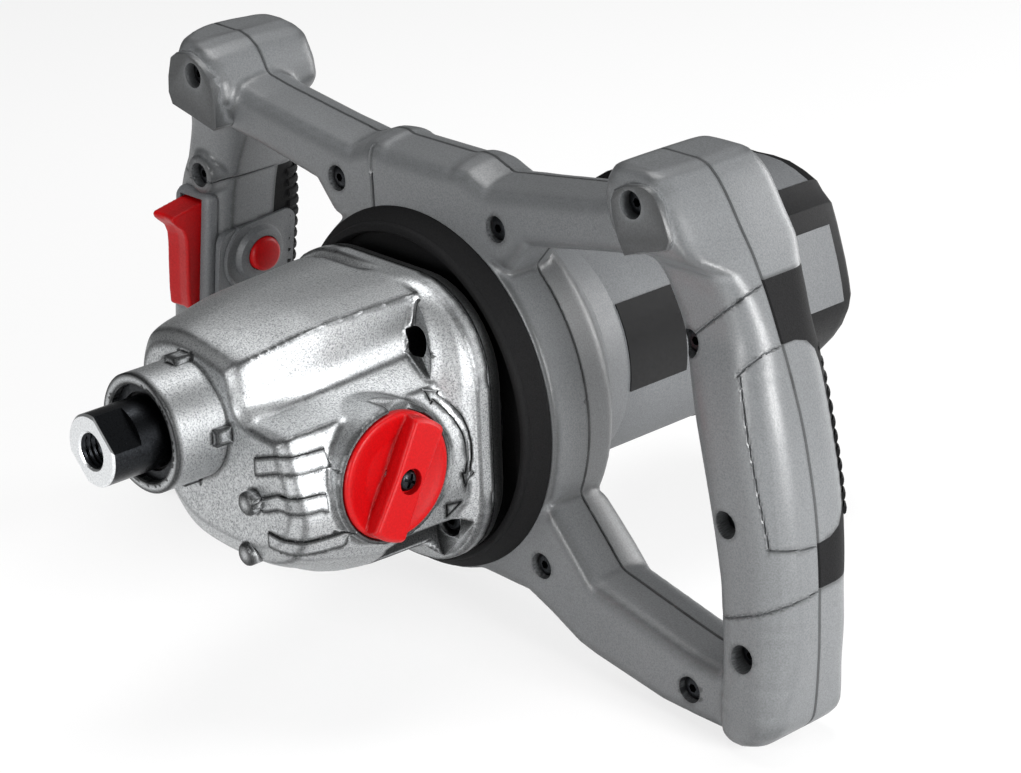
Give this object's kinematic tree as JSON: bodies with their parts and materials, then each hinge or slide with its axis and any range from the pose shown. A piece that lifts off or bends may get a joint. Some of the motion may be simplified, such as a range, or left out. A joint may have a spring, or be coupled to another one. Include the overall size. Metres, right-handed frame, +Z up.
{
  "type": "mixing drill",
  "caption": "Mixing drill: motor and gearbox in a wide handle frame, with a trigger, a speed selector knob and a threaded spindle.",
  "frame": {"origin": "centre of the mouth of the spindle's thread, in the plane of the spindle's front face", "axes": "-Y along the spindle towards the tool it drives, +X to the right from the motor towards the spindle's right-hand grip as seen along +Y, +Z up from the feet to the top bar"},
  "size_m": [0.358, 0.321, 0.1991],
  "materials": {
    "frame_grey": "satin, fine texture",
    "housing_grey": "satin",
    "black_plastic": "fine texture",
    "black_rubber": "matte",
    "red_plastic": "gloss",
    "label_black": "satin foil",
    "cast_aluminium": "silver paint over cast grain",
    "cover_aluminium": "machined",
    "bright_steel": "ground",
    "black_steel": "blackened",
    "core_steel": "laminated",
    "copper": "enamelled wire",
    "brass": "drawn",
    "carbon": "pressed carbon"
  },
  "bodies": {
    "drill_body": {"front_frame": "frame_grey", "rear_frame": "frame_grey", "frame_screws": "black_steel", "left_soft_grip": "black_rubber", "right_soft_grip": "black_rubber", "cord_inlet": "black_rubber", "switch_body": "black_plastic", "switch_bezel": "black_plastic", "lock_plate": "frame_grey", "collar_ring": "black_rubber", "motor_housing": "housing_grey", "rear_cap": "black_plastic", "cap_screws": "black_steel", "label_plate": "label_black", "stator_core": "core_steel", "field_coils": "copper", "brush_holders": "brass", "carbon_brushes": "carbon", "rotor_bearings": "bright_steel", "gearbox_housing": "cast_aluminium", "gearbox_cover": "cover_aluminium", "gearbox_screws": "black_steel", "spindle_bearings": "bright_steel", "retaining_ring": "black_steel", "spindle_seal": "black_rubber", "layshaft_bearings": "bright_steel", "idler_bushes": "brass"},
    "spindle": {"spindle": "black_steel", "slow_gear": "bright_steel", "fast_gear": "bright_steel", "gear_key": "bright_steel", "gear_spacers": "bright_steel", "spindle_circlip": "black_steel"},
    "layshaft": {"layshaft": "bright_steel", "layshaft_gear": "bright_steel"},
    "sliding_gears": {"sliding_gears": "bright_steel"},
    "idler": {"idler_shaft": "bright_steel", "idler_gear": "bright_steel"},
    "rotor": {"rotor_shaft": "bright_steel", "rotor_core": "core_steel", "rotor_windings": "copper", "commutator": "copper", "fan": "black_plastic"},
    "selector": {"selector_knob": "red_plastic", "selector_shaft": "bright_steel", "knob_screw": "black_steel"},
    "trigger": {"trigger": "red_plastic"},
    "lock_button": {"lock_button": "red_plastic"}
  },
  "joints": [
    {"name": "spindle_spin", "type": "hinge", "parent": "drill_body", "child": "spindle", "pos_m": [0, 0.055, 0], "axis": [0, -1, 0], "continuous": true},
    {"name": "layshaft_spin", "type": "hinge", "parent": "drill_body", "child": "layshaft", "pos_m": [0.0291, 0.095, -0.0155], "axis": [0, -1, 0], "continuous": true},
    {"name": "idler_spin", "type": "hinge", "parent": "drill_body", "child": "idler", "pos_m": [0.01493, 0.115, -0.0338], "axis": [0, -1, 0], "continuous": true},
    {"name": "rotor_spin", "type": "hinge", "parent": "drill_body", "child": "rotor", "pos_m": [0.0095, 0.215, -0.0161], "axis": [0, -1, 0], "continuous": true},
    {"name": "knob_turn", "type": "hinge", "parent": "drill_body", "child": "selector", "pos_m": [0.0595, 0.0805, -0.0161], "axis": [1, 0, 0], "range_deg": [0, 90]},
    {"name": "gear_slide", "type": "slide", "parent": "layshaft", "child": "sliding_gears", "axis": [0, -1, 0], "range_m": [0, 0.01]},
    {"name": "trigger_press", "type": "slide", "parent": "drill_body", "child": "trigger", "axis": [0, 1, 0], "range_m": [0, 0.006], "stiffness_N_per_m": 400, "springref_m": -0.004},
    {"name": "lock_press", "type": "slide", "parent": "drill_body", "child": "lock_button", "axis": [-1, 0, 0], "range_m": [0, 0.003], "stiffness_N_per_m": 400, "springref_m": -0.002}
  ],
  "couplings": [
    {"joint": "layshaft_spin", "follows": "spindle_spin", "ratio": -3},
    {"joint": "idler_spin", "follows": "spindle_spin", "ratio": 8.1},
    {"joint": "rotor_spin", "follows": "spindle_spin", "ratio": -34.714},
    {"joint": "knob_turn", "follows": "gear_slide", "rad_per_m": 157.08}
  ]
}
